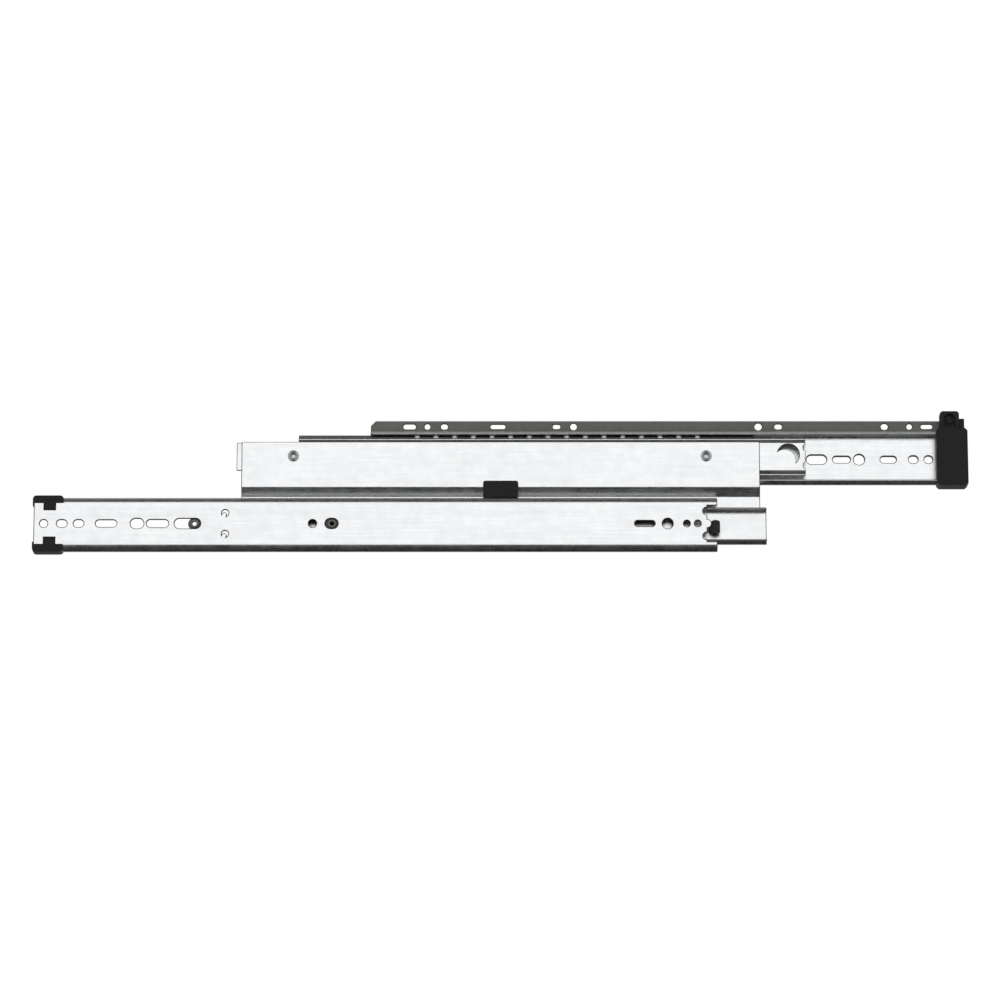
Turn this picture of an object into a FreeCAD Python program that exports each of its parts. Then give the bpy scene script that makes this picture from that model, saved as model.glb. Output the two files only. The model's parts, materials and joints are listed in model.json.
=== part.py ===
import FreeCAD, Part
import math
import os

# Two-stage ball-bearing drawer slide, shown part way out.
# X runs along the travel (-X is out of the cabinet), +Y points at the cabinet wall, +Z is up.
# Lengths along X are counted from the front end of the cabinet channel, heights from the
# bottom of the drawer channel; place() then moves the origin to the cabinet hole pattern.

# Sheet, balls and channel section
SHEET = 1.5
INNER_SHEET = 1.2
BALL_D = 4.76
RACE_R = 2.55
CHANNEL_H = 33.0
CHANNEL_D = 2 * (RACE_R + SHEET)
LIP_ANGLE = 155.0
CUP_START = 200.0
CUP_END = 305.0
CUP_R = RACE_R + INNER_SHEET
RACE_INSET = RACE_R + SHEET

# Depth stack, from the cabinet wall at Y = 0 towards the drawer
BACKING_T = 1.2
CABINET_BACK = -BACKING_T
CABINET_FRONT = CABINET_BACK - CHANNEL_D
SLIDE_GAP = 0.4
PLATE_T = 1.5
PLATE_UPPER_BACK = CABINET_FRONT - SLIDE_GAP
PLATE_UPPER_FRONT = PLATE_UPPER_BACK - PLATE_T
JOG = 2.5
PLATE_LOWER_FRONT = PLATE_UPPER_FRONT + JOG
DRAWER_BACK = PLATE_LOWER_FRONT - SLIDE_GAP
DRAWER_FRONT = DRAWER_BACK - CHANNEL_D

# Heights
UPPER_Z = 43.0
UPPER_MID = UPPER_Z + CHANNEL_H / 2
LOWER_MID = CHANNEL_H / 2
BACKING_TOP = 83.8
PLATE_TOP = 68.3
JOG_TOP = 40.2
JOG_BOTTOM = 35.0
PLATE_BOTTOM = 7.5
STRIP_HOLE_Z = 80.2

# Lengths along the travel
CABINET_LEN = 356.0
DRAWER_START = -200.0
DRAWER_LEN = 407.0
DRAWER_END = DRAWER_START + DRAWER_LEN
PLATE_START = -77.0
PLATE_END = 233.0
UPPER_INNER_START = -80.0
UPPER_RACE_START = -43.0
UPPER_INNER_END = 260.5
LOWER_INNER_START = -67.0
LOWER_INNER_END = 236.5

# Ball cages
CAGE_T = 0.5
CAGE_SHIFT = 0.45
CAGE_CLEAR = 0.4
CAGE_FRONT_REACH = 2.9
CAGE_LEG_BACK = 1.25
CAGE_LEG_RISE = 2.0
UPPER_CAGE_START = -43.0
UPPER_CAGE_LEN = 273.0
UPPER_FIRST_BALL = 28.0
UPPER_BALLS = 16
LOWER_CAGE_START = 0.0
LOWER_CAGE_LEN = 140.0
LOWER_FIRST_BALL = 6.0
LOWER_BALLS = 11
BALL_PITCH = 11.2
BALL_WINDOW_R = BALL_D / 2 + 0.1
CUP_ROOT_LAP = 3.85

# Slope that joins the web to a cup: distance in front of the ball line, depth below the race
SLOPE_TOP_FRONT = (3.4, 1.585)
SLOPE_TOP_BACK = (2.12, 2.12)

# Mounting holes: centre along X, length, height
CABINET_FRONT_HOLE = 37.0
HOLE_SPACING = 256.0
CABINET_REAR_HOLE = CABINET_FRONT_HOLE + HOLE_SPACING
CABINET_HOLE_D = 6.4
CABINET_SLOTS = [
    (12.0, 4.5, 4.5), (22.5, 7.0, 4.5), (55.0, 11.0, 4.0), (76.0, 11.0, 5.5), (128.0, 11.0, 4.0),
    (165.0, 6.0, 4.5), (201.0, 11.0, 4.0), (246.0, 9.5, 4.0), (267.5, 12.0, 5.6), (282.5, 10.5, 4.0),
    (310.5, 9.5, 4.0), (325.5, 5.6, 4.5), (334.6, 5.0, 4.5),
]
STRIP_SLOTS = [
    (23.3, 7.5, 3.0), (34.0, 3.4, 4.0), (44.2, 4.2, 3.2), (76.4, 9.0, 2.6), (111.6, 4.6, 2.6),
    (121.8, 4.0, 4.0), (232.8, 4.4, 4.2), (244.8, 4.6, 3.0), (308.6, 4.2, 3.6), (323.6, 3.4, 5.0),
    (334.0, 7.0, 2.6),
]
DRAWER_FRONT_HOLE = -194.0
DRAWER_HOLE_SPACING = 160.0
DRAWER_HOLE_D = 4.6
DRAWER_SLOTS = [
    (-183.2, 6.0, 4.4), (-173.2, 6.0, 4.4), (-156.8, 12.5, 4.2), (-138.4, 7.8, 6.0),
    (-126.2, 13.0, 4.6), (-108.4, 15.5, 6.0), (-22.6, 7.6, 6.0), (163.8, 12.0, 3.4),
    (177.4, 6.2, 6.2), (188.8, 3.8, 3.8), (195.3, 3.8, 3.8),
]
HOOK_X = -86.0
HOOK_RISE = 6.4
HOOK_W = 4.0
HOOK_BITE = (0.5, 1.1, 0.4)
NUT_XS = (-104.2, -22.4)
NUT_R = 2.6
NUT_FLANGE_R = 3.9
NUT_BORE_R = 1.3
NOTCH_DEPTH = 6.0
NOTCH_EASE = 1.4
NOTCH_EAR_X = DRAWER_END - 6.4
NOTCH_EAR_RISE = 7.6
NOTCH_EAR_R = 2.2
NOTCH_TONGUE_X = DRAWER_END - 6.2
NOTCH_TONGUE_R = 2.8

# Crescent window and end scallops of the upper rail: x, height above the middle, radius
CRESCENT = (250.2, 1.2, 6.6)
CRESCENT_BITE = (248.0, -2.3, 7.0)
SCALLOP_R = 2.4
SCALLOP_RISE = 5.5
SCALLOP_OUT = 1.0

# Depth ranges that cutters reach through
WEB_CUT = (-14.0, -4.0)
WALL_CUT = (-4.0, 1.0)

# Rivets
RIVET_R = 2.0
RIVET_HEAD_R = 3.4
RIVET_HEAD_T = 0.9
RIVET_BORE_R = 1.5
PLATE_RIVETS_UPPER = [-46.0, 201.0]
PLATE_RIVETS_LOWER = [-50.0, 85.0, 150.0]
BACKING_RIVETS = [6.0, 95.0, 183.0, 223.0, 346.0]
BACKING_RIVET_RISE = 5.5
BACKING_HEAD_R = 3.0
BACKING_HEAD_T = 0.7
STRIP_CORNER = 3.0
STRIP_OVERLAP = 4.0

# Plastic and rubber pieces
REAR_CAP_START = 338.8
REAR_CAP_END = 357.6
REAR_CAP_FRONT = -11.6
REAR_CAP_MARGIN = 1.6
REAR_LUG_START = 341.6
REAR_LUG_END = 353.0
REAR_LUG_TOP = 88.0
FRONT_CAP_LEN = 18.4
FRONT_CAP_PROUD = 0.7
FRONT_CAP_H = 5.4
FRONT_TAB_W = 6.6
FRONT_TAB_DROP = 2.6
FRONT_CAP_ROUND = 2.2
CAP_TAB_LAP = 0.4
TAB_RISE = FRONT_CAP_H - 0.8
TAB_X = DRAWER_START + 6.2
BLOCK_START = 67.5
BLOCK_END = 88.5
BLOCK_TOP = 43.8
BLOCK_BOTTOM = 33.5
BLOCK_FRONT = -13.2
BLOCK_BACK = -6.4
BLOCK_WINDOW_INSET = 4.0
BUMPER_X = 206.0
BUMPER_R = 4.2

ORIGIN = FreeCAD.Vector(
    (CABINET_FRONT_HOLE + CABINET_REAR_HOLE) / 2, 0, UPPER_MID)


def box(x0, x1, y0, y1, z0, z1):
    """Box between two corners."""
    return Part.makeBox(x1 - x0, y1 - y0, z1 - z0, FreeCAD.Vector(x0, y0, z0))


def pin(x, z, radius, y0, y1):
    """Round bar along Y from y0 to y1."""
    return Part.makeCylinder(
        radius, y1 - y0, FreeCAD.Vector(x, y0, z), FreeCAD.Vector(0, 1, 0))


def slot(x, z, length, height, y0, y1):
    """Slot cutter along Y with round ends, its long side along X."""
    r = min(length, height) / 2
    half = max(length / 2 - r, 0)
    if half < 0.01:
        return pin(x, z, r, y0, y1)
    cutter = box(x - half, x + half, y0, y1, z - r, z + r)
    for side in (-1, 1):
        cutter = cutter.fuse(pin(x + side * half, z, r, y0, y1))
    return cutter.removeSplitter()


def arc_strip(x0, x1, y, z, r_in, r_out, start, end, facing, upright):
    """Curved wall about a line along X; facing and upright mirror it in Y and Z."""
    def at(radius, degrees):
        a = math.radians(degrees)
        return FreeCAD.Vector(
            x0, y + facing * radius * math.cos(a), z + upright * radius * math.sin(a))

    middle = (start + end) / 2
    edges = [
        Part.Arc(at(r_out, start), at(r_out, middle), at(r_out, end)).toShape(),
        Part.LineSegment(at(r_out, end), at(r_in, end)).toShape(),
        Part.Arc(at(r_in, end), at(r_in, middle), at(r_in, start)).toShape(),
        Part.LineSegment(at(r_in, start), at(r_out, start)).toShape(),
    ]
    return Part.Face(Part.Wire(edges)).extrude(FreeCAD.Vector(x1 - x0, 0, 0))


def join(pieces):
    """One solid from pieces that share walls."""
    solid = pieces[0]
    for piece in pieces[1:]:
        solid = solid.fuse(piece)
    return solid.removeSplitter()


def channel(x0, x1, z0, back, facing):
    """C channel whose ends curl round a ball race; facing is 1 when its web is at +Y."""
    ball_y = back - facing * RACE_INSET
    web = sorted([back, back - facing * SHEET])
    pieces = [box(x0, x1, web[0], web[1], z0 + RACE_INSET, z0 + CHANNEL_H - RACE_INSET)]
    for upright, z in ((1, z0 + CHANNEL_H - RACE_INSET), (-1, z0 + RACE_INSET)):
        pieces.append(arc_strip(
            x0, x1, ball_y, z, RACE_R, RACE_R + SHEET, 0, LIP_ANGLE, facing, upright))
    return join(pieces)


def inner_member(x0, race_x0, x1, mid, web_y, ball_y, facing):
    """Inner rail: a flat web with a cup along each edge that carries the balls."""
    race_z = CHANNEL_H / 2 - RACE_INSET
    web_half = race_z - CUP_ROOT_LAP
    web = sorted([web_y, web_y + facing * INNER_SHEET])
    pieces = [box(race_x0, x1, web[0], web[1], mid - web_half, mid + web_half)]
    if x0 < race_x0:
        pieces.append(box(x0, race_x0, web[0], web[1], mid - web_half, mid + web_half))
    web_front = (ball_y - web_y) * facing
    section = [(web_front, web_half), (SLOPE_TOP_FRONT[0], race_z - SLOPE_TOP_FRONT[1]),
               (SLOPE_TOP_BACK[0], race_z - SLOPE_TOP_BACK[1]),
               (web_front - INNER_SHEET, web_half)]
    for upright in (1, -1):
        points = [FreeCAD.Vector(race_x0, ball_y - facing * u, mid + upright * w)
                  for u, w in section]
        outline = Part.makePolygon(points + points[:1])
        pieces.append(Part.Face(outline).extrude(FreeCAD.Vector(x1 - race_x0, 0, 0)))
        pieces.append(arc_strip(
            race_x0, x1, ball_y, mid + upright * race_z, RACE_R, CUP_R,
            CUP_START, CUP_END, facing, upright))
    return join(pieces)


def cage_strip(x0, length, ball_y, ball_z, facing, upright, balls):
    """Ball cage of L section with one round window per ball; its foot lies on the rail side."""
    back = ball_y + facing * (RACE_R - CAGE_CLEAR)
    leg = ball_y + facing * CAGE_LEG_BACK
    y = sorted([back, ball_y - facing * CAGE_FRONT_REACH])
    low = ball_z - upright * (CAGE_SHIFT + CAGE_T / 2)
    foot = sorted([low, low + upright * CAGE_T])
    rise = sorted([low, ball_z + upright * CAGE_LEG_RISE])
    leg_y = sorted([leg, leg - facing * CAGE_T])
    strip = box(x0, x0 + length, y[0], y[1], foot[0], foot[1])
    strip = strip.fuse(box(x0, x0 + length, leg_y[0], leg_y[1], rise[0], rise[1]))
    for x in balls:
        window = Part.makeCylinder(
            BALL_WINDOW_R, 2 * BALL_D, FreeCAD.Vector(x, ball_y, ball_z - BALL_D))
        strip = strip.cut(window)
    return strip.removeSplitter()


def ball_row(balls, ball_y, ball_z):
    """Separate balls along the race."""
    return Part.makeCompound(
        [Part.makeSphere(BALL_D / 2, FreeCAD.Vector(x, ball_y, ball_z)) for x in balls])


def tube_rivets(xs, z, face, back, head_side):
    """Tubular rivets along X; the flanged head stands on face at head_side."""
    rivets = []
    for x in xs:
        y = sorted([face, back])
        rivet = pin(x, z, RIVET_R, y[0], y[1])
        head = sorted([face, face + head_side * RIVET_HEAD_T])
        tail = sorted([back, back - head_side * RIVET_HEAD_T * 0.7])
        rivet = rivet.fuse(pin(x, z, RIVET_HEAD_R, head[0], head[1]))
        rivet = rivet.fuse(pin(x, z, RIVET_HEAD_R - 0.6, tail[0], tail[1]))
        reach = sorted([face + head_side * 2, face - head_side * 1.2])
        rivets.append(rivet.cut(pin(x, z, RIVET_BORE_R, reach[0], reach[1])).removeSplitter())
    return Part.makeCompound(rivets)


def rivet_holes(shape, xs, z, y0, y1):
    """Cut the rivet shank holes."""
    for x in xs:
        shape = shape.cut(pin(x, z, RIVET_R, y0, y1))
    return shape


def cut_slots(shape, slots, z, y0, y1):
    """Cut a row of slots, each given as centre, length and height."""
    for x, length, height in slots:
        shape = shape.cut(slot(x, z, length, height, y0, y1))
    return shape


def cabinet_channel():
    """Fixed channel, screwed to the cabinet through its web."""
    body = channel(0, CABINET_LEN, UPPER_Z, CABINET_BACK, 1)
    for x in (CABINET_FRONT_HOLE, CABINET_REAR_HOLE):
        body = body.cut(pin(x, UPPER_MID, CABINET_HOLE_D / 2, *WALL_CUT))
    body = cut_slots(body, CABINET_SLOTS, UPPER_MID, *WALL_CUT)
    return rivet_holes(body, BACKING_RIVETS, UPPER_MID + BACKING_RIVET_RISE, *WALL_CUT)


def backing_strip():
    """Flat strip behind the fixed channel, with a slotted flange above it."""
    strip = box(0, CABINET_LEN, -BACKING_T, 0, UPPER_Z + STRIP_OVERLAP, BACKING_TOP)
    corner = Part.makePolygon([
        FreeCAD.Vector(0, -BACKING_T, BACKING_TOP),
        FreeCAD.Vector(STRIP_CORNER, -BACKING_T, BACKING_TOP),
        FreeCAD.Vector(0, -BACKING_T, BACKING_TOP - STRIP_CORNER),
        FreeCAD.Vector(0, -BACKING_T, BACKING_TOP)])
    strip = strip.cut(Part.Face(corner).extrude(FreeCAD.Vector(0, BACKING_T, 0)))
    for x in (CABINET_FRONT_HOLE, CABINET_REAR_HOLE):
        strip = strip.cut(pin(x, UPPER_MID, CABINET_HOLE_D / 2, *WALL_CUT))
    strip = cut_slots(strip, CABINET_SLOTS, UPPER_MID, *WALL_CUT)
    strip = cut_slots(strip, STRIP_SLOTS, STRIP_HOLE_Z, *WALL_CUT)
    return rivet_holes(strip, BACKING_RIVETS, UPPER_MID + BACKING_RIVET_RISE, *WALL_CUT)


def backing_rivets():
    """Flat-tailed rivets that hold the strip to the fixed channel."""
    rivets = []
    for x in BACKING_RIVETS:
        rivet = pin(x, UPPER_MID + BACKING_RIVET_RISE, RIVET_R, CABINET_BACK - SHEET, 0)
        head = pin(x, UPPER_MID + BACKING_RIVET_RISE, BACKING_HEAD_R, CABINET_BACK - SHEET - BACKING_HEAD_T,
                   CABINET_BACK - SHEET)
        rivets.append(rivet.fuse(head).removeSplitter())
    return Part.makeCompound(rivets)


def rear_cap(fixed_parts):
    """Moulded cap over the rear end of the fixed channel, with a square lug above."""
    low = UPPER_Z - REAR_CAP_MARGIN
    high = UPPER_Z + CHANNEL_H + 0.9
    cap = box(REAR_CAP_START, REAR_CAP_END, REAR_CAP_FRONT, CABINET_BACK, low, high)
    cap = cap.makeChamfer(1.6, [e for e in cap.Edges if e.BoundBox.YLength > 10])
    lug = box(REAR_LUG_START, REAR_LUG_END, -8.5, CABINET_BACK, high, REAR_LUG_TOP)
    upper_edges = [e for e in lug.Edges if e.BoundBox.YLength > 7 and e.BoundBox.ZMin > high + 1]
    lug = lug.makeChamfer(1.2, upper_edges)
    lug = lug.fuse(box(REAR_LUG_END, REAR_LUG_END + 3.2, -6.5, CABINET_BACK, high, BACKING_TOP))
    recess = box(REAR_LUG_START + 2.2, REAR_LUG_END - 2.4, -9, -6.3, high + 1.6, REAR_LUG_TOP - 5.0)
    arch_x = (REAR_LUG_START + REAR_LUG_END - 0.2) / 2
    recess = recess.fuse(pin(arch_x, REAR_LUG_TOP - 5.0, 3.4, -9, -6.3))
    cap = cap.fuse(lug.cut(recess)).fuse(pin(arch_x, REAR_LUG_TOP - 5.6, 1.9, -7.6, -6.0))
    for part in fixed_parts:
        cap = cap.cut(part)
    solids = sorted(cap.Solids, key=lambda s: s.Volume)
    return solids[-1]


def beam_plate():
    """Joggled plate that carries the upper rail on its back and the lower rail on its front."""
    front_points = [
        (PLATE_UPPER_FRONT, PLATE_TOP), (PLATE_UPPER_BACK, PLATE_TOP),
        (PLATE_UPPER_BACK, JOG_TOP + 0.6), (PLATE_UPPER_BACK + JOG, JOG_BOTTOM + 0.6),
        (PLATE_UPPER_BACK + JOG, PLATE_BOTTOM), (PLATE_LOWER_FRONT, PLATE_BOTTOM),
        (PLATE_LOWER_FRONT, JOG_BOTTOM), (PLATE_UPPER_FRONT, JOG_TOP),
    ]
    points = [FreeCAD.Vector(PLATE_START, y, z) for y, z in front_points]
    outline = Part.makePolygon(points + points[:1])
    plate = Part.Face(outline).extrude(FreeCAD.Vector(PLATE_END - PLATE_START, 0, 0))
    plate = plate.cut(box(BLOCK_START + BLOCK_WINDOW_INSET, BLOCK_END - BLOCK_WINDOW_INSET, -20, 0,
                          JOG_BOTTOM + 1, JOG_TOP - 0.6))
    plate = rivet_holes(plate, PLATE_RIVETS_UPPER, UPPER_MID, *WEB_CUT)
    return rivet_holes(plate, PLATE_RIVETS_LOWER, LOWER_MID, *WEB_CUT)


def upper_rail():
    """Inner rail of the upper stage, with a crescent window near its rear end."""
    ball_y = CABINET_BACK - RACE_INSET
    rail = inner_member(UPPER_INNER_START, UPPER_RACE_START, UPPER_INNER_END, UPPER_MID,
                        PLATE_UPPER_BACK, ball_y, 1)
    x, rise, radius = CRESCENT
    window = pin(x, UPPER_MID + rise, radius, *WEB_CUT)
    x, rise, radius = CRESCENT_BITE
    rail = rail.cut(window.cut(pin(x, UPPER_MID + rise, radius, *WEB_CUT)))
    for rise in (SCALLOP_RISE, -SCALLOP_RISE):
        rail = rail.cut(pin(UPPER_INNER_END + SCALLOP_OUT, UPPER_MID + rise, SCALLOP_R, *WEB_CUT))
    return rivet_holes(rail, PLATE_RIVETS_UPPER, UPPER_MID, *WEB_CUT)


def lower_rail():
    """Inner rail of the lower stage."""
    ball_y = DRAWER_FRONT + RACE_INSET
    rail = inner_member(LOWER_INNER_START, LOWER_INNER_START, LOWER_INNER_END, LOWER_MID,
                        PLATE_LOWER_FRONT, ball_y, -1)
    return rivet_holes(rail, PLATE_RIVETS_LOWER, LOWER_MID, *WEB_CUT)


def guide_block(plate):
    """Plastic block clipped over the joggle, above the drawer channel."""
    block = box(BLOCK_START, BLOCK_END, BLOCK_FRONT, BLOCK_BACK, BLOCK_BOTTOM, BLOCK_TOP)
    rounded = [e for e in block.Edges if e.BoundBox.YLength > 5]
    block = block.makeFillet(1.4, rounded)
    block = block.cut(box(BLOCK_START, BLOCK_END, PLATE_UPPER_BACK, 0, JOG_TOP + 1.2, BLOCK_TOP + 1))
    block = block.cut(plate)
    return block


def cap_tab(upright, y0, y1):
    """Block in the shape of a front cap's tab, which fills a notch in the web."""
    inside = LOWER_MID + upright * (CHANNEL_H / 2 - FRONT_CAP_H)
    z = sorted([inside + upright * TAB_RISE, inside - upright * FRONT_TAB_DROP])
    return box(TAB_X, TAB_X + FRONT_TAB_W, y0, y1, z[0], z[1])


def drawer_channel():
    """Moving channel that screws to the drawer side."""
    body = channel(DRAWER_START, DRAWER_END, 0, DRAWER_FRONT, -1)
    y0 = DRAWER_FRONT - 1
    y1 = DRAWER_FRONT + SHEET + 1
    for step in (0, 1):
        x = DRAWER_FRONT_HOLE + step * DRAWER_HOLE_SPACING
        body = body.cut(pin(x, LOWER_MID, DRAWER_HOLE_D / 2, y0, y1))
    body = cut_slots(body, DRAWER_SLOTS, LOWER_MID, y0, y1)
    for rise in (HOOK_RISE, -HOOK_RISE):
        hook = pin(HOOK_X, LOWER_MID + rise, HOOK_W / 2, y0, y1)
        back, drop, thin = HOOK_BITE
        hook = hook.cut(pin(HOOK_X - back, LOWER_MID + rise - drop, HOOK_W / 2 - thin, y0, y1))
        body = body.cut(hook)
    low = RACE_INSET + NOTCH_EASE
    notch = box(DRAWER_END - NOTCH_DEPTH, DRAWER_END + 1, y0, y1, low, CHANNEL_H - low)
    for rise in (NOTCH_EAR_RISE, -NOTCH_EAR_RISE):
        notch = notch.fuse(pin(NOTCH_EAR_X, LOWER_MID + rise, NOTCH_EAR_R, y0, y1))
    notch = notch.cut(pin(NOTCH_TONGUE_X, LOWER_MID, NOTCH_TONGUE_R, y0 - 1, y1 + 1))
    body = body.cut(notch)
    for upright in (1, -1):
        body = body.cut(cap_tab(upright, DRAWER_FRONT - 1, DRAWER_FRONT + SHEET + 1))
    return body


def front_cap(channel_shape, upright):
    """Corner cap at the front end of the drawer channel, with a tab over the web."""
    edge = LOWER_MID + upright * (CHANNEL_H / 2 + FRONT_CAP_PROUD)
    inside = LOWER_MID + upright * (CHANNEL_H / 2 - FRONT_CAP_H)
    z = sorted([edge, inside])
    x0 = DRAWER_START - FRONT_CAP_PROUD
    cap = box(x0, x0 + FRONT_CAP_LEN, DRAWER_FRONT, DRAWER_BACK, z[0], z[1])
    corner = [e for e in cap.Edges if e.BoundBox.YLength > 5 and abs(e.BoundBox.ZMin - edge) < 0.01]
    cap = cap.makeFillet(FRONT_CAP_ROUND, corner)
    cap = cap.fuse(cap_tab(upright, DRAWER_FRONT, DRAWER_FRONT + SHEET + CAP_TAB_LAP))
    cap = cap.cut(channel_shape)
    solids = sorted(cap.Solids, key=lambda s: s.Volume)
    return Part.makeCompound(solids[-2:])


def slot_nuts():
    """Round captive nuts that sit in two of the drawer channel's mounting slots."""
    nuts = []
    for x in NUT_XS:
        nut = pin(x, LOWER_MID, NUT_R, DRAWER_FRONT + 0.2, DRAWER_FRONT + SHEET)
        flange = pin(x, LOWER_MID, NUT_FLANGE_R, DRAWER_FRONT + SHEET, DRAWER_FRONT + SHEET + 0.5)
        nut = nut.fuse(flange).cut(pin(x, LOWER_MID, NUT_BORE_R, -30, 0))
        nuts.append(nut.removeSplitter())
    return Part.makeCompound(nuts)


def end_bumper():
    """Rubber button behind the rear edge of the drawer channel's web."""
    back = DRAWER_FRONT + SHEET
    button = pin(BUMPER_X, LOWER_MID - 1.6, BUMPER_R, back, back + 1.6)
    return button.cut(box(BUMPER_X + 2.6, BUMPER_X + 9, back - 1, back + 3, 0, CHANNEL_H))


def place(shape):
    """Move the origin to the middle of the cabinet hole pattern, on the wall face."""
    moved = shape.copy()
    moved.translate(FreeCAD.Vector(-ORIGIN.x, -ORIGIN.y, -ORIGIN.z))
    return moved


def cage_nodes(label, start, length, balls, ball_y, z0, facing):
    """The two cage strips and two ball rows of one stage."""
    nodes = {}
    rows = {"top": (1, z0 + CHANNEL_H - RACE_INSET), "bottom": (-1, z0 + RACE_INSET)}
    for row, (upright, z) in rows.items():
        nodes[label + "_cage_" + row] = cage_strip(
            start, length, ball_y, z, facing, upright, balls)
        nodes[label + "_balls_" + row] = ball_row(balls, ball_y, z)
    return nodes


def build():
    """Every node of the slide by name."""
    fixed = cabinet_channel()
    strip = backing_strip()
    fixed_rivets = backing_rivets()
    plate = beam_plate()
    moving = drawer_channel()
    nodes = {
        "cabinet_channel": fixed,
        "backing_strip": strip,
        "backing_rivets": fixed_rivets,
        "rear_cap": rear_cap([fixed, strip, fixed_rivets]),
        "beam_plate": plate,
        "upper_inner_rail": upper_rail(),
        "lower_inner_rail": lower_rail(),
        "upper_rail_rivets": tube_rivets(
            PLATE_RIVETS_UPPER, UPPER_MID, PLATE_UPPER_FRONT, PLATE_UPPER_BACK + INNER_SHEET, -1),
        "lower_rail_rivets": tube_rivets(
            PLATE_RIVETS_LOWER, LOWER_MID, PLATE_LOWER_FRONT - INNER_SHEET,
            PLATE_LOWER_FRONT + PLATE_T, -1),
        "guide_block": guide_block(plate),
        "drawer_channel": moving,
        "front_cap_top": front_cap(moving, 1),
        "front_cap_bottom": front_cap(moving, -1),
        "slot_nuts": slot_nuts(),
        "end_bumper": end_bumper(),
    }
    upper_balls = [UPPER_FIRST_BALL + i * BALL_PITCH for i in range(UPPER_BALLS)]
    lower_balls = [LOWER_FIRST_BALL + i * BALL_PITCH for i in range(LOWER_BALLS)]
    nodes.update(cage_nodes("upper", UPPER_CAGE_START, UPPER_CAGE_LEN, upper_balls,
                            CABINET_BACK - RACE_INSET, UPPER_Z, 1))
    nodes.update(cage_nodes("lower", LOWER_CAGE_START, LOWER_CAGE_LEN, lower_balls,
                            DRAWER_FRONT + RACE_INSET, 0, -1))
    return nodes


os.makedirs("parts", exist_ok=True)
for name, shape in build().items():
    placed = place(shape)
    placed.exportStep("parts/" + name + ".step")
    print(name, len(placed.Solids), placed.isValid(), round(placed.Volume, 1), placed.BoundBox)
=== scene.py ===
"""Looks of a two-stage ball-bearing drawer slide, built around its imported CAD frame."""
import json
import logging
import math
from dataclasses import dataclass, field
from enum import Enum

import bmesh
import bpy
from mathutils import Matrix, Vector

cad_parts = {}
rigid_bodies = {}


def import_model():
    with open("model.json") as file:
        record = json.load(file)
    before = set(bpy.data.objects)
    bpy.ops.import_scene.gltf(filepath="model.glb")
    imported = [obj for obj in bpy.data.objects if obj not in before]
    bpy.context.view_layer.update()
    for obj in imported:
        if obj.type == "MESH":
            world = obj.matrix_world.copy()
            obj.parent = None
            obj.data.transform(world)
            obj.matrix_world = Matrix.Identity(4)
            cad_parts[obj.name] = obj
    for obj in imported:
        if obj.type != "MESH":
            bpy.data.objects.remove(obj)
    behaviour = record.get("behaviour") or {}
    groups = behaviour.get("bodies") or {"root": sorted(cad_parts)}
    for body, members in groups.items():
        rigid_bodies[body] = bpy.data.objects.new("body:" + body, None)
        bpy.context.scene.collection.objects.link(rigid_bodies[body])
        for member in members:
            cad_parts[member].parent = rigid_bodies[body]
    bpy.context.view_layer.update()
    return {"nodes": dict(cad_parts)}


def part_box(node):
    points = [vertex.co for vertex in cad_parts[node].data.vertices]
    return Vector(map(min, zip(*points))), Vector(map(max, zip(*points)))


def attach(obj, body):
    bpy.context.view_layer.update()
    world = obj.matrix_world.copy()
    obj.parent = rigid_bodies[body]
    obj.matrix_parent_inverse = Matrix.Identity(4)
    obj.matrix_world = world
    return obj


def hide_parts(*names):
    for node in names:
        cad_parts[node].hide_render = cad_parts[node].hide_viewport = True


log = logging.getLogger("drawer_slide")
MM = 0.001

# Sockets of the colour Mix node, and the range that noise mostly keeps to
MIX_FIRST = 6
MIX_SECOND = 7
MIX_RESULT = 2
NOISE_LOW = 0.3
NOISE_HIGH = 0.7


class Body(Enum):
    """The slide's moving bodies."""

    CABINET = "cabinet"
    BEAM = "beam"
    DRAWER = "drawer"
    UPPER_CAGE = "upper_cage"
    LOWER_CAGE = "lower_cage"


class Value:
    """A shader socket that takes part in Python arithmetic."""

    def __init__(self, paint: "ShaderTree", socket: bpy.types.NodeSocket) -> None:
        """Wrap one output socket.

        Args:
            paint: the tree under construction.
            socket: the output socket that carries the value.
        """
        self.paint = paint
        self.socket = socket

    def math(self, operation: str, *others: object, clamp: bool = False) -> "Value":
        """Chain one Math node.

        Args:
            operation: the node's operation.
            others: the second and third operands, values or numbers.
            clamp: whether the result is held to 0..1.

        Returns:
            The node's result.
        """
        settings = {"operation": operation, "use_clamp": clamp}
        inputs = dict(enumerate((self, *others)))
        return self.paint.node("ShaderNodeMath", settings, inputs)

    def __add__(self, other: object) -> "Value":
        """Sum.

        Args:
            other: a value or a number.

        Returns:
            The result.
        """
        return self.math("ADD", other)

    __radd__ = __add__

    def __mul__(self, other: object) -> "Value":
        """Product.

        Args:
            other: a value or a number.

        Returns:
            The result.
        """
        return self.math("MULTIPLY", other)

    __rmul__ = __mul__

    def __sub__(self, other: object) -> "Value":
        """Difference.

        Args:
            other: a value or a number.

        Returns:
            The result.
        """
        return self.math("SUBTRACT", other)

    def __rsub__(self, other: object) -> "Value":
        """Difference with the operands the other way round.

        Args:
            other: a value or a number.

        Returns:
            The result.
        """
        return (self * -1.0) + other


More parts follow.
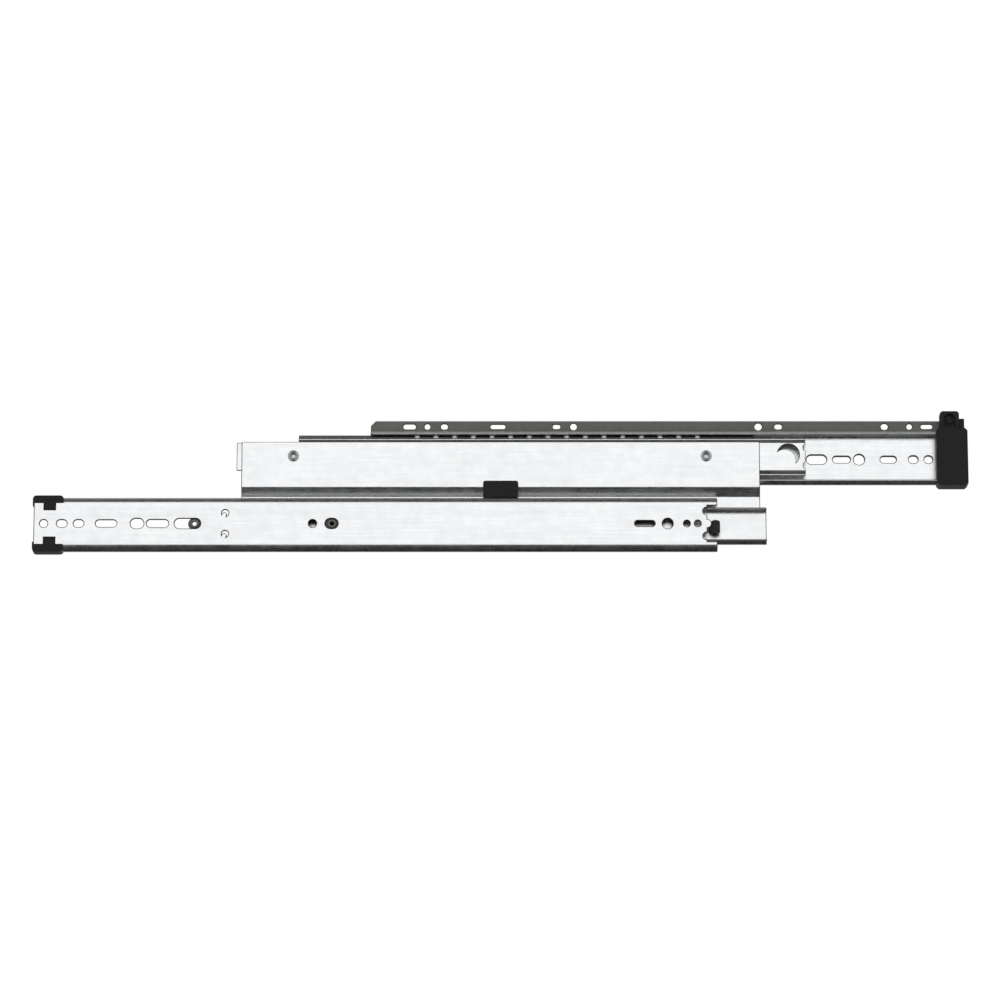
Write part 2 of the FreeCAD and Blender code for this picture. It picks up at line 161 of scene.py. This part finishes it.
class ShaderTree:
    """A shader node tree that is made from Python expressions."""

    def __init__(self, tree: bpy.types.NodeTree, output: str) -> None:
        """Empty the tree and give it an output node.

        Args:
            tree: the material's or world's node tree.
            output: the output node's type name.
        """
        self.tree = tree
        self.tree.nodes.clear()
        self.output = self.tree.nodes.new(output)

    def node(self, kind: str, settings: dict, inputs: dict, out: object = 0) -> Value:
        """Add one node.

        Args:
            kind: the node's type name.
            settings: attributes set before the sockets; "stops" fills a ramp.
            inputs: socket name or index to a value or a wrapped socket.
            out: name or index of the output that is returned.

        Returns:
            The chosen output.
        """
        made = self.tree.nodes.new(kind)
        for key, setting in settings.items():
            if key == "stops":
                self.fill(made.color_ramp.elements, setting)
            else:
                setattr(made, key, setting)
        for key, value in inputs.items():
            if isinstance(value, Value):
                self.tree.links.new(value.socket, made.inputs[key])
            else:
                made.inputs[key].default_value = value
        return Value(self, made.outputs[out])

    def fill(self, elements: bpy.types.ColorRampElements, stops: tuple) -> None:
        """Set a ramp's grey stops.

        Args:
            elements: the ramp's elements.
            stops: a position and a grey tone for each.
        """
        while len(elements) < len(stops):
            elements.new(0.5)
        for element, (position, tone) in zip(elements, stops):
            element.position = position
            element.color = (tone, tone, tone, 1.0)

    def rise(self, value: Value, start: float, end: float) -> Value:
        """Ramp from 0 at start to 1 at end.

        Args:
            value: what is measured.
            start: where the result is 0.
            end: where the result is 1.

        Returns:
            The ramp's value, held to 0..1.
        """
        return self.node("ShaderNodeMapRange", {}, {
            "Value": value, "From Min": start, "From Max": end})

    def blend(self, share: Value, dark: object, light: object) -> Value:
        """Mix two colours.

        Args:
            share: how much of the second colour.
            dark: first colour, as numbers or a wrapped socket.
            light: second colour, as numbers or a wrapped socket.

        Returns:
            The mixed colour.
        """
        first, second = (c if isinstance(c, Value) else (*c, 1.0) for c in (dark, light))
        return self.node("ShaderNodeMix", {"data_type": "RGBA"}, {
            "Factor": share, MIX_FIRST: first, MIX_SECOND: second}, MIX_RESULT)

    def close(self, surface: Value) -> None:
        """Link the last shader to the output.

        Args:
            surface: the shader's output.
        """
        self.tree.links.new(surface.socket, self.output.inputs["Surface"])


class Paint(ShaderTree):
    """A material made from Python expressions."""

    def __init__(self, name: str) -> None:
        """Start an empty material.

        Args:
            name: the material's name.
        """
        self.material = bpy.data.materials.new(name)
        self.material.use_nodes = True
        super().__init__(self.material.node_tree, "ShaderNodeOutputMaterial")

    def place(self, scale: tuple) -> Value:
        """Object coordinates, scaled.

        Args:
            scale: repeats per metre along X, Y and Z.

        Returns:
            The mapped vector.
        """
        spot = self.node("ShaderNodeTexCoord", {}, {}, "Object")
        return self.node("ShaderNodeMapping", {}, {"Vector": spot, "Scale": scale})

    def noise(self, scale: tuple, detail: float = 4.0, rough: float = 0.55) -> Value:
        """Noise on object coordinates.

        Args:
            scale: repeats per metre along X, Y and Z.
            detail: octaves.
            rough: how much the fine octaves count.

        Returns:
            The noise value, 0 to 1.
        """
        return self.node("ShaderNodeTexNoise", {}, {
            "Vector": self.place(scale), "Scale": 1.0, "Detail": detail, "Roughness": rough})

    def spread(self, value: Value, low: float, high: float) -> Value:
        """Map noise's middle range to low..high.

        Args:
            value: the noise.
            low: result at the bottom of that range.
            high: result at the top of that range.

        Returns:
            The mapped value.
        """
        return self.node("ShaderNodeMapRange", {}, {
            "Value": value, "From Min": NOISE_LOW, "From Max": NOISE_HIGH,
            "To Min": low, "To Max": high})

    def finish(self, inputs: dict, height: Value, strength: float, depth: float) -> None:
        """Close the material with one Principled shader.

        Args:
            inputs: the shader's sockets.
            height: bump height.
            strength: bump strength.
            depth: bump depth in metres.
        """
        bump = self.node("ShaderNodeBump", {}, {
            "Height": height, "Strength": strength, "Distance": depth})
        shader = self.node("ShaderNodeBsdfPrincipled", {}, {**inputs, "Normal": bump})
        self.close(shader)


@dataclass(frozen=True)
class SheetFinish:
    """Plated or blued cold-rolled sheet: rolling streaks, mottled plating, handling marks, and
    near-black painted shade on edge faces.
    """

    name: str
    slot: str
    dark: tuple
    light: tuple
    metal: float = 1.0
    rough_low: float = 0.22
    rough_high: float = 0.36
    streaks: tuple = (22.0, 900.0, 1500.0)
    mottle: tuple = (160.0, 160.0, 160.0)
    bump: float = 0.18
    # Near-black edge colour: painted shade and painted dark reflection on edges, hole walls, curls
    # and bends; only a little of it is the greyer bare cut edge.
    wall: tuple = (0.02, 0.02, 0.022)
    cut_edge_and_shade_share: float = 0.97

    def make(self) -> bpy.types.Material:
        """Build the material.

        Returns:
            The material.
        """
        paint = Paint(self.name)
        streak = paint.noise(self.streaks, 5.0, 0.6)
        mottle = paint.noise(self.mottle, 3.0)
        cloud = paint.noise((18.0, 18.0, 40.0), 2.0)
        grain = paint.noise((2600.0, 2600.0, 2600.0), 2.0)
        share = paint.spread(0.45 * streak + 0.3 * mottle + 0.25 * cloud, 0.0, 1.0)
        # Marked edge faces are mixed almost fully to the near-black edge colour: painted shade and
        # painted dark reflection.
        cut_edge_and_shade_mask = paint.node("ShaderNodeAttribute", {"attribute_name": "cut_edge_and_painted_shade"}, {}, "Fac")
        plated = paint.blend(share, self.dark, self.light)
        color = paint.blend(self.cut_edge_and_shade_share * cut_edge_and_shade_mask, plated, self.wall)
        rough = paint.spread(0.6 * streak + 0.4 * mottle, self.rough_low, self.rough_high)
        paint.finish({"Base Color": color, "Roughness": rough, "Metallic": self.metal},
                     0.7 * streak + 0.3 * grain, self.bump, 0.00004)
        return paint.material


@dataclass(frozen=True)
class MouldedFinish:
    """Moulded plastic or rubber: fine spark grain with lighter scuffs spread by noise."""

    name: str
    slot: str
    dark: tuple
    light: tuple
    rough_low: float
    rough_high: float
    grain: float = 2400.0
    bump: float = 0.35

    def make(self) -> bpy.types.Material:
        """Build the material.

        Returns:
            The material.
        """
        paint = Paint(self.name)
        grain = paint.node("ShaderNodeTexVoronoi", {}, {
            "Vector": paint.place((self.grain, self.grain, self.grain)), "Scale": 1.0})
        scuff = paint.noise((260.0, 260.0, 700.0), 5.0, 0.65)
        share = paint.spread(scuff, 0.0, 1.0)
        color = paint.blend(share, self.dark, self.light)
        rough = paint.spread(0.5 * scuff + 0.5 * grain, self.rough_low, self.rough_high)
        paint.finish({"Base Color": color, "Roughness": rough, "Specular IOR Level": 0.25},
                     0.6 * grain + 0.4 * scuff, self.bump, 0.00006)
        return paint.material


ZINC = SheetFinish("bright_zinc_sheet", "zinc_steel", (0.80, 0.81, 0.82), (0.93, 0.94, 0.95))
# Darker grey sheet for the slotted strip and the captive nuts.
DARK_GREY_SHEET = SheetFinish("dark_grey_sheet", "dark_steel", (0.10, 0.10, 0.088),
                        (0.19, 0.19, 0.172), metal=0.35, rough_low=0.45, rough_high=0.65,
                        streaks=(240.0, 900.0, 1100.0), bump=0.3)
RIVET = SheetFinish("plated_rivet", "rivet_steel", (0.38, 0.39, 0.40), (0.62, 0.63, 0.64),
                    rough_low=0.2, rough_high=0.34, streaks=(400.0, 400.0, 400.0))
BLUED = SheetFinish("blued_cage_strip", "cage_steel", (0.06, 0.06, 0.065), (0.14, 0.14, 0.15),
                    metal=0.8, rough_low=0.3, rough_high=0.45)
BALL = SheetFinish("bearing_ball", "ball_steel", (0.82, 0.83, 0.85), (0.93, 0.93, 0.95),
                   rough_low=0.14, rough_high=0.24, streaks=(300.0, 300.0, 300.0), bump=0.02)
PLASTIC = MouldedFinish("moulded_black", "black_plastic", (0.004, 0.0045, 0.005),
                        (0.012, 0.0125, 0.0135), 0.38, 0.58)
RUBBER = MouldedFinish("bumper_rubber", "black_rubber", (0.012, 0.012, 0.012),
                       (0.028, 0.028, 0.027), 0.6, 0.8, grain=1600.0)


class Dresser:
    """Keeps one material per finish and puts pieces on their bodies."""

    def __init__(self) -> None:
        """Start with no materials made."""
        self.made: dict = {}

    def material(self, finish: object) -> bpy.types.Material:
        """The finish's material, made once.

        Args:
            finish: the finish.

        Returns:
            Its material.
        """
        if finish.name not in self.made:
            self.made[finish.name] = finish.make()
        return self.made[finish.name]

    def mount(self, piece: bpy.types.Object, finish: object, body: Body, *nodes: str) -> None:
        """Give a piece its finish, body and CAD nodes.

        Args:
            piece: the finished mesh object.
            finish: its finish.
            body: the body it rides on.
            nodes: the CAD nodes that it stands for.
        """
        piece.data.materials.clear()
        piece.data.materials.append(self.material(finish))
        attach(piece, body.value)
        if nodes:
            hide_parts(*nodes)
        log.info("%s: %d faces on %s", piece.name, len(piece.data.polygons), body.value)


@dataclass
class EdgeBreak:
    """How a pressed or moulded piece's edges are eased."""

    width: float
    segments: int = 3
    angle: float = math.radians(24.5)
    smooth: float = math.radians(34.0)
    # These three fields pick the faces that get painted edge shade: short faces by the first
    # slope, long faces by the long slope.
    edge_and_shade_slope: float = 0.98
    edge_and_shade_length: float = 45.0 * MM
    long_face_shade_slope: float = 0.0
    clamp: bool = False
    merge: float = 0.004 * MM
    flat: float = math.radians(0.4)

    def piece(self, name: str, node: bpy.types.Object) -> bpy.types.Object:
        """Copy a CAD node, merge it and ease its edges.

        Args:
            name: the new piece's name.
            node: the CAD node's object.

        Returns:
            The eased mesh object.
        """
        mesh = node.data.copy()
        work = bmesh.new()
        work.from_mesh(mesh)
        bmesh.ops.remove_doubles(work, verts=work.verts, dist=self.merge)
        bmesh.ops.dissolve_limit(work, angle_limit=self.flat, verts=work.verts,
                                 edges=work.edges)
        work.to_mesh(mesh)
        work.free()
        mesh.name = name
        piece = bpy.data.objects.new(name, mesh)
        bpy.context.scene.collection.objects.link(piece)
        bevel = piece.modifiers.new("edge_break", "BEVEL")
        bevel.width = self.width
        bevel.segments = self.segments
        bevel.limit_method = "ANGLE"
        bevel.use_clamp_overlap = self.clamp
        bevel.loop_slide = False
        bevel.angle_limit = self.angle
        apply_modifiers(piece)
        for face in piece.data.polygons:
            face.use_smooth = True
        piece.data.set_sharp_from_angle(angle=self.smooth)
        weigh = piece.modifiers.new("flat_faces", "WEIGHTED_NORMAL")
        weigh.keep_sharp = True
        weigh.weight = 100
        apply_modifiers(piece)
        self.mark_cut_edges_and_shade(piece.data)
        return piece

    def mark_cut_edges_and_shade(self, mesh: bpy.types.Mesh) -> None:
        """Store on each face whether it is a cut wall, an eased edge or a steep long face, all of
        which get painted shade.

        Args:
            mesh: the eased mesh; it gains a face attribute that marks where the painted edge shade
                goes.
        """
        cut_edge_and_shade_mask = []
        for face in mesh.polygons:
            xs = [mesh.vertices[i].co.x for i in face.vertices]
            short = max(xs) - min(xs) < self.edge_and_shade_length
            limit = self.edge_and_shade_slope if short else self.long_face_shade_slope
            cut_edge_and_shade_mask.append(1.0 if abs(face.normal.y) < limit else 0.0)
        attribute = mesh.attributes.new("cut_edge_and_painted_shade", "FLOAT", "FACE")
        attribute.data.foreach_set("value", cut_edge_and_shade_mask)
        # Counts the faces marked for painted edge shade.
        log.info("%s: %d of %d faces are cut walls", mesh.name, sum(cut_edge_and_shade_mask), len(cut_edge_and_shade_mask))


def apply_modifiers(piece: bpy.types.Object) -> None:
    """Turn a piece's modifiers into its mesh."""
    evaluated = piece.evaluated_get(bpy.context.evaluated_depsgraph_get())
    mesh = bpy.data.meshes.new_from_object(evaluated)
    piece.modifiers.clear()
    piece.data = mesh


class GeoTree:
    """A geometry-node group that is built in code and turned into a plain mesh."""

    def __init__(self, name: str) -> None:
        """Start an empty group with a geometry output.

        Args:
            name: the group's name.
        """
        self.tree = bpy.data.node_groups.new(name, "GeometryNodeTree")
        self.tree.interface.new_socket("Geometry", in_out="OUTPUT",
                                       socket_type="NodeSocketGeometry")
        self.group_in = self.tree.nodes.new("NodeGroupInput")
        self.group_out = self.tree.nodes.new("NodeGroupOutput")
        self.sizes: dict = {}

    def size(self, name: str, value: float) -> bpy.types.NodeSocket:
        """Add a named length input.

        Args:
            name: the input's name.
            value: its value in metres.

        Returns:
            The socket inside the group.
        """
        made = self.tree.interface.new_socket(name, in_out="INPUT",
                                              socket_type="NodeSocketFloat")
        self.sizes[made.identifier] = value
        return self.group_in.outputs[name]

    def count(self, name: str, value: int) -> bpy.types.NodeSocket:
        """Add a named whole-number input.

        Args:
            name: the input's name.
            value: its value.

        Returns:
            The socket inside the group.
        """
        made = self.tree.interface.new_socket(name, in_out="INPUT",
                                              socket_type="NodeSocketInt")
        self.sizes[made.identifier] = value
        return self.group_in.outputs[name]

    def node(self, kind: str, settings: dict, inputs: dict, out: object = 0
             ) -> bpy.types.NodeSocket:
        """Add one node.

        Args:
            kind: the node's type name.
            settings: attributes set before the sockets.
            inputs: socket name or index to a value, a socket or a list of sockets.
            out: name or index of the output that is returned.

        Returns:
            The chosen output socket.
        """
        made = self.tree.nodes.new(kind)
        for key, setting in settings.items():
            setattr(made, key, setting)
        for key, value in inputs.items():
            links = value if isinstance(value, list) else [value]
            for link in links:
                if isinstance(link, bpy.types.NodeSocket):
                    self.tree.links.new(link, made.inputs[key])
                else:
                    made.inputs[key].default_value = link
        return made.outputs[out]

    def combine(self, x: object, y: object, z: object) -> bpy.types.NodeSocket:
        """A vector from three parts.

        Args:
            x: number or socket.
            y: number or socket.
            z: number or socket.

        Returns:
            The vector.
        """
        return self.node("ShaderNodeCombineXYZ", {}, {"X": x, "Y": y, "Z": z})

    def mesh(self, name: str, geometry: bpy.types.NodeSocket,
             material: bpy.types.Material) -> bpy.types.Object:
        """Close the group and turn its result into a plain mesh object.

        Args:
            name: the piece's name.
            geometry: the last geometry socket.
            material: what Set Material puts on it.

        Returns:
            The finished object.
        """
        smooth = self.node("GeometryNodeSetShadeSmooth", {}, {"Geometry": geometry})
        real = self.node("GeometryNodeRealizeInstances", {}, {"Geometry": smooth})
        dressed = self.node("GeometryNodeSetMaterial", {}, {
            "Geometry": real, "Material": material})
        self.tree.links.new(dressed, self.group_out.inputs["Geometry"])
        piece = bpy.data.objects.new(name, bpy.data.meshes.new(name))
        bpy.context.scene.collection.objects.link(piece)
        modifier = piece.modifiers.new("build", "NODES")
        modifier.node_group = self.tree
        for identifier, value in self.sizes.items():
            modifier[identifier] = value
        apply_modifiers(piece)
        piece.data.set_sharp_from_angle(angle=math.radians(40.0))
        return piece


@dataclass
class BallRow:
    """A row of bearing balls at one pitch, made by instancing."""

    name: str
    first: Vector
    pitch: float
    number: int
    radius: float
    rings: int = 20

    def build(self, material: bpy.types.Material) -> bpy.types.Object:
        """Make the row's mesh.

        Args:
            material: the balls' material.

        Returns:
            The row as one mesh of separate balls.
        """
        geo = GeoTree(self.name + "_tree")
        pitch = geo.size("Pitch", self.pitch)
        line = geo.node("GeometryNodeMeshLine", {}, {
            "Count": geo.count("Balls", self.number), "Start Location": tuple(self.first),
            "Offset": geo.combine(pitch, 0.0, 0.0)})
        ball = geo.node("GeometryNodeMeshUVSphere", {}, {
            "Segments": self.rings * 2, "Rings": self.rings,
            "Radius": geo.size("Radius", self.radius)})
        row = geo.node("GeometryNodeInstanceOnPoints", {}, {"Points": line, "Instance": ball})
        return geo.mesh(self.name, row, material)


@dataclass
class RivetRow:
    """Tubular rivets seen from the head side: a flange, a rolled rim and a sunk middle."""

    name: str
    places: list
    face: float
    height: float
    outward: float
    flange_r: float = 3.4 * MM
    rim_r: float = 2.35 * MM
    bore_r: float = 1.5 * MM
    rim_wire: float = 0.55 * MM
    rim_steps: int = 8
    flange_t: float = 0.5 * MM
    wall: float = 0.3 * MM
    lead_in: float = 0.2 * MM
    bore_depth: float = 1.2 * MM
    round_steps: int = 40
    depth: float = 3.0 * MM

    def profile(self) -> list:
        """Section that is lathed, from the flange's edge to the middle and back under it.

        Returns:
            Radius and height of each corner.
        """
        shank_r = self.bore_r + self.wall
        points = [(self.flange_r, 0.0), (self.flange_r, self.flange_t / 2),
                  (self.flange_r - self.wall, self.flange_t)]
        for step in range(self.rim_steps + 1):
            a = math.pi * step / self.rim_steps
            points.append((self.rim_r + self.rim_wire * math.cos(a),
                           self.flange_t + self.rim_wire * math.sin(a)))
        points += [(self.bore_r, self.lead_in), (self.bore_r, -self.bore_depth)]
        points += [(0.0, -self.bore_depth), (0.0, -self.depth)]
        points += [(shank_r, -self.depth), (shank_r, 0.0)]
        return points

    def head(self) -> bpy.types.Object:
        """Lathe one rivet about its own axis, which is Y.

        Returns:
            The rivet, as an instance source.
        """
        work = bmesh.new()
        steps = self.round_steps
        rings = []
        for radius, rise in self.profile():
            turns = [2 * math.pi * i / steps for i in range(steps if radius > 0 else 1)]
            rings.append([work.verts.new((radius * math.cos(a), self.outward * rise,
                                          radius * math.sin(a))) for a in turns])
        for one, two in zip(rings, rings[1:] + rings[:1]):
            for i in range(steps):
                corners = [one[i % len(one)], one[(i + 1) % len(one)],
                           two[(i + 1) % len(two)], two[i % len(two)]]
                unique = list(dict.fromkeys(corners))
                if len(unique) > 2:
                    work.faces.new(unique)
        bmesh.ops.recalc_face_normals(work, faces=work.faces)
        mesh = bpy.data.meshes.new(self.name + "_head")
        work.to_mesh(mesh)
        work.free()
        return bpy.data.objects.new(self.name + "_head", mesh)

    def build(self, material: bpy.types.Material) -> bpy.types.Object:
        """Make the row's mesh.

        Args:
            material: the rivets' material.

        Returns:
            The row as one mesh of separate rivets.
        """
        source = self.head()
        geo = GeoTree(self.name + "_tree")
        head = geo.node("GeometryNodeObjectInfo", {}, {"Object": source}, "Geometry")
        rows = []
        for place in self.places:
            spot = geo.combine(geo.size(f"Place {len(rows)}", place), self.face, self.height)
            point = geo.node("GeometryNodePoints", {}, {"Count": 1, "Position": spot})
            rows.append(geo.node("GeometryNodeInstanceOnPoints", {}, {
                "Points": point, "Instance": head}))
        joined = geo.node("GeometryNodeJoinGeometry", {}, {"Geometry": rows})
        piece = geo.mesh(self.name, joined, material)
        bpy.data.objects.remove(source)
        return piece


@dataclass
class Fixed:
    """What is screwed to the cabinet wall."""

    dresser: Dresser
    nodes: dict
    sheet_edge: EdgeBreak = field(default_factory=lambda: EdgeBreak(0.5 * MM))
    rivet_edge: EdgeBreak = field(default_factory=lambda: EdgeBreak(0.2 * MM))
    cap_edge: EdgeBreak = field(default_factory=lambda: EdgeBreak(0.45 * MM, clamp=True))

    def build(self) -> None:
        """Make and dress every piece."""
        channel = self.sheet_edge.piece("fixed_channel", self.nodes["cabinet_channel"])
        self.dresser.mount(channel, ZINC, Body.CABINET, "cabinet_channel")
        strip = self.sheet_edge.piece("slotted_strip", self.nodes["backing_strip"])
        self.dresser.mount(strip, DARK_GREY_SHEET, Body.CABINET, "backing_strip")
        rivets = self.rivet_edge.piece("strip_rivets", self.nodes["backing_rivets"])
        self.dresser.mount(rivets, RIVET, Body.CABINET, "backing_rivets")
        cap = self.cap_edge.piece("moulded_rear_cap", self.nodes["rear_cap"])
        self.dresser.mount(cap, PLASTIC, Body.CABINET, "rear_cap")


@dataclass
class Beam:
    """The joggled plate, its two rails and the block that guides it."""

    dresser: Dresser
    nodes: dict
    sheet_edge: EdgeBreak = field(default_factory=lambda: EdgeBreak(0.4 * MM))
    # The plate's long joggle faces also get painted edge shade.
    plate_edge: EdgeBreak = field(default_factory=lambda: EdgeBreak(
        0.45 * MM, long_face_shade_slope=0.87))
    block_edge: EdgeBreak = field(default_factory=lambda: EdgeBreak(0.4 * MM, clamp=True))
    head_rise: float = 0.9 * MM

    def rivets(self, name: str, node: str, outward: float) -> bpy.types.Object:
        """Detailed rivets in the places of a CAD node's.

        Args:
            name: the new piece's name.
            node: the CAD node with the plain rivets.
            outward: -1 where the heads face -Y.

        Returns:
            The detailed row.
        """
        low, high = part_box(node)
        middle = (low.z + high.z) / 2
        centres = cluster_centres(self.nodes[node].data)
        face = low.y + self.head_rise
        row = RivetRow(name, centres, face, middle, outward)
        row.depth = high.y - face
        return row.build(self.dresser.material(RIVET))

    def build(self) -> None:
        """Make and dress every piece."""
        plate = self.plate_edge.piece("joggled_plate", self.nodes["beam_plate"])
        self.dresser.mount(plate, ZINC, Body.BEAM, "beam_plate")
        names = {"upper_inner_rail": "upper_rail", "lower_inner_rail": "lower_rail"}
        for node, name in names.items():
            piece = self.sheet_edge.piece(name, self.nodes[node])
            self.dresser.mount(piece, ZINC, Body.BEAM, node)
        block = self.block_edge.piece("guide_block_moulding", self.nodes["guide_block"])
        self.dresser.mount(block, PLASTIC, Body.BEAM, "guide_block")
        for stage in ("upper", "lower"):
            node = stage + "_rail_rivets"
            piece = self.rivets(stage + "_tubular_rivets", node, -1.0)
            self.dresser.mount(piece, RIVET, Body.BEAM, node)


@dataclass
class Drawer:
    """The channel that screws to the drawer, with its caps, nuts and rubber button."""

    dresser: Dresser
    nodes: dict
    sheet_edge: EdgeBreak = field(default_factory=lambda: EdgeBreak(0.5 * MM))
    cap_edge: EdgeBreak = field(default_factory=lambda: EdgeBreak(0.3 * MM, clamp=True))
    nut_edge: EdgeBreak = field(default_factory=lambda: EdgeBreak(0.12 * MM))

    def build(self) -> None:
        """Make and dress every piece."""
        plan = [("drawer_channel", "moving_channel", ZINC, self.sheet_edge),
                ("front_cap_top", "corner_cap_top", PLASTIC, self.cap_edge),
                ("front_cap_bottom", "corner_cap_bottom", PLASTIC, self.cap_edge),
                ("slot_nuts", "captive_nuts", DARK_GREY_SHEET, self.nut_edge),
                ("end_bumper", "rubber_button", RUBBER, self.cap_edge)]
        for node, name, finish, edge in plan:
            piece = edge.piece(name, self.nodes[node])
            self.dresser.mount(piece, finish, Body.DRAWER, node)


@dataclass
class Cages:
    """The ball rows of both stages and the strips that space them."""

    dresser: Dresser
    nodes: dict
    strip_edge: EdgeBreak = field(default_factory=lambda: EdgeBreak(0.08 * MM))
    pitch: float = 11.2 * MM

    def build(self) -> None:
        """Make and dress every piece."""
        for stage, body in (("upper", Body.UPPER_CAGE), ("lower", Body.LOWER_CAGE)):
            for row in ("top", "bottom"):
                node = f"{stage}_cage_{row}"
                strip = self.strip_edge.piece(f"{stage}_ball_strip_{row}", self.nodes[node])
                self.dresser.mount(strip, BLUED, body, node)
                self.balls(stage, row, body)

    def balls(self, stage: str, row: str, body: Body) -> None:
        """Round balls in the windows of one strip.

        Args:
            stage: upper or lower.
            row: top or bottom.
            body: the cage's body.
        """
        node = f"{stage}_balls_{row}"
        low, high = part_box(node)
        radius = (high.z - low.z) / 2
        number = round((high.x - low.x - 2 * radius) / self.pitch) + 1
        first = Vector((low.x + radius, (low.y + high.y) / 2, (low.z + high.z) / 2))
        made = BallRow(f"{stage}_bearing_balls_{row}", first, self.pitch, number, radius)
        self.dresser.mount(made.build(self.dresser.material(BALL)), BALL, body, node)


def cluster_centres(mesh: bpy.types.Mesh, gap: float = 5.0 * MM) -> list:
    """Middles along X of the separate solids in a row.

    Args:
        mesh: the row's mesh.
        gap: least empty length between two solids.

    Returns:
        One X for each solid.
    """
    xs = sorted(vertex.co.x for vertex in mesh.vertices)
    groups = [[xs[0]]]
    for x in xs[1:]:
        if x - groups[-1][-1] > gap:
            groups.append([x])
        else:
            groups[-1].append(x)
    return [(group[0] + group[-1]) / 2 for group in groups]


@dataclass(frozen=True)
class Panel:
    """A square lamp: its place in metres, its side in metres and its power in watts."""

    name: str
    spot: tuple
    side: float
    power: float


PANELS = (
    Panel("key_panel", (-0.9, -1.6, 1.3), 0.9, 9.0),
    Panel("fill_panel", (1.4, -1.5, 0.5), 0.9, 4.0),
    Panel("back_panel", (0.3, 1.6, 1.2), 1.2, 6.0),
)


@dataclass
class Studio:
    """Pale floor, soft light and the camera."""

    target: Vector = field(default_factory=lambda: Vector((-0.0874, -0.011, -0.0271)))
    elevation: float = math.radians(-14.0)
    distance: float = 3.0
    width: float = 0.597
    floor_z: float = -0.9
    floor_side: float = 6.0
    sensor: float = 36.0
    strength: float = 1.3
    front_stops: tuple = ((0.0, 0.012), (0.48, 0.015), (0.55, 1.0), (0.70, 1.0), (0.75, 0.03),
                          (0.985, 0.03), (1.0, 0.12))
    behind_range: tuple = (0.1, 0.4)
    above_range: tuple = (-0.6, -0.4)
    behind_tone: tuple = (0.34, 0.34, 0.34)
    beside_range: tuple = (0.25, 0.45)
    beside_tone: tuple = (0.5, 0.5, 0.5)

    def camera(self) -> None:
        """Long-lens camera a little below the slide."""
        data = bpy.data.cameras.new("camera")
        data.lens = self.sensor * self.distance / self.width
        camera = bpy.data.objects.new("camera", data)
        back = Vector((0.0, -math.cos(self.elevation), math.sin(self.elevation)))
        camera.location = self.target + back * self.distance
        camera.rotation_euler = (-back).to_track_quat("-Z", "Y").to_euler()
        bpy.context.scene.collection.objects.link(camera)
        bpy.context.scene.camera = camera

    def floor(self) -> None:
        """Large pale floor, well under the slide."""
        mesh = bpy.data.meshes.new("floor")
        side = self.floor_side
        corners = [(-side, -side), (side, -side), (side, side), (-side, side)]
        mesh.from_pydata([(x, y, self.floor_z) for x, y in corners], [], [(0, 1, 2, 3)])
        floor = bpy.data.objects.new("floor", mesh)
        bpy.context.scene.collection.objects.link(floor)
        paint = Paint("pale_floor")
        tone = paint.noise((3.0, 3.0, 3.0), 2.0)
        color = paint.blend(tone, (0.84, 0.84, 0.84), (0.88, 0.88, 0.88))
        paint.finish({"Base Color": color, "Roughness": 0.9, "Emission Color": color,
                      "Emission Strength": 0.4}, tone, 0.02, 0.001)
        mesh.materials.append(paint.material)
        floor.visible_glossy = False

    def sky(self) -> None:
        """White backdrop; in reflections, a bright band at eye level that dims above and below."""
        world = bpy.data.worlds.new("studio")
        world.use_nodes = True
        bpy.context.scene.world = world
        sky = ShaderTree(world.node_tree, "ShaderNodeOutputWorld")
        way = sky.node("ShaderNodeTexCoord", {}, {}, "Generated")
        x, y, z = (sky.node("ShaderNodeSeparateXYZ", {}, {"Vector": way}, axis) for axis in "XYZ")
        front = sky.node("ShaderNodeValToRGB", {"stops": self.front_stops}, {
            "Fac": sky.rise(z, -1.0, 1.0)})
        behind = sky.rise(y, *self.behind_range) * sky.rise(z, *self.above_range)
        room = sky.blend(behind, front, self.behind_tone)
        beside = sky.rise(x.math("ABSOLUTE"), *self.beside_range)
        room = sky.blend(beside, room, self.beside_tone)
        reflected = sky.node("ShaderNodeBackground", {}, {
            "Color": room, "Strength": self.strength})
        seen = sky.node("ShaderNodeBackground", {}, {"Color": (1.0, 1.0, 1.0, 1.0)})
        camera = sky.node("ShaderNodeLightPath", {}, {}, "Is Camera Ray")
        sky.close(sky.node("ShaderNodeMixShader", {}, {0: camera, 1: reflected, 2: seen}))

    def light(self, panel: Panel) -> None:
        """One soft panel aimed at the slide; mirror-like metal doesn't show it.

        Args:
            panel: its name, place, side and power.
        """
        data = bpy.data.lights.new(panel.name, "AREA")
        data.size = panel.side
        data.energy = panel.power
        lamp = bpy.data.objects.new(panel.name, data)
        lamp.visible_glossy = False
        lamp.location = panel.spot
        aim = self.target - Vector(panel.spot)
        lamp.rotation_euler = aim.to_track_quat("-Z", "Y").to_euler()
        bpy.context.scene.collection.objects.link(lamp)

    def build(self) -> None:
        """Set up the studio."""
        self.camera()
        self.floor()
        self.sky()
        for panel in PANELS:
            self.light(panel)
        bpy.context.scene.view_settings.view_transform = "Standard"
        bpy.context.scene.view_settings.look = "None"


def main() -> None:
    """Build the studio, then each sub-assembly in turn."""
    logging.basicConfig(level=logging.INFO, format="%(message)s")
    for leftover in list(bpy.data.objects):
        bpy.data.objects.remove(leftover)
    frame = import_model()
    Studio().build()
    dresser = Dresser()
    for assembly in (Fixed, Beam, Drawer, Cages):
        assembly(dresser, frame["nodes"]).build()


if __name__ == "__main__":
    main()
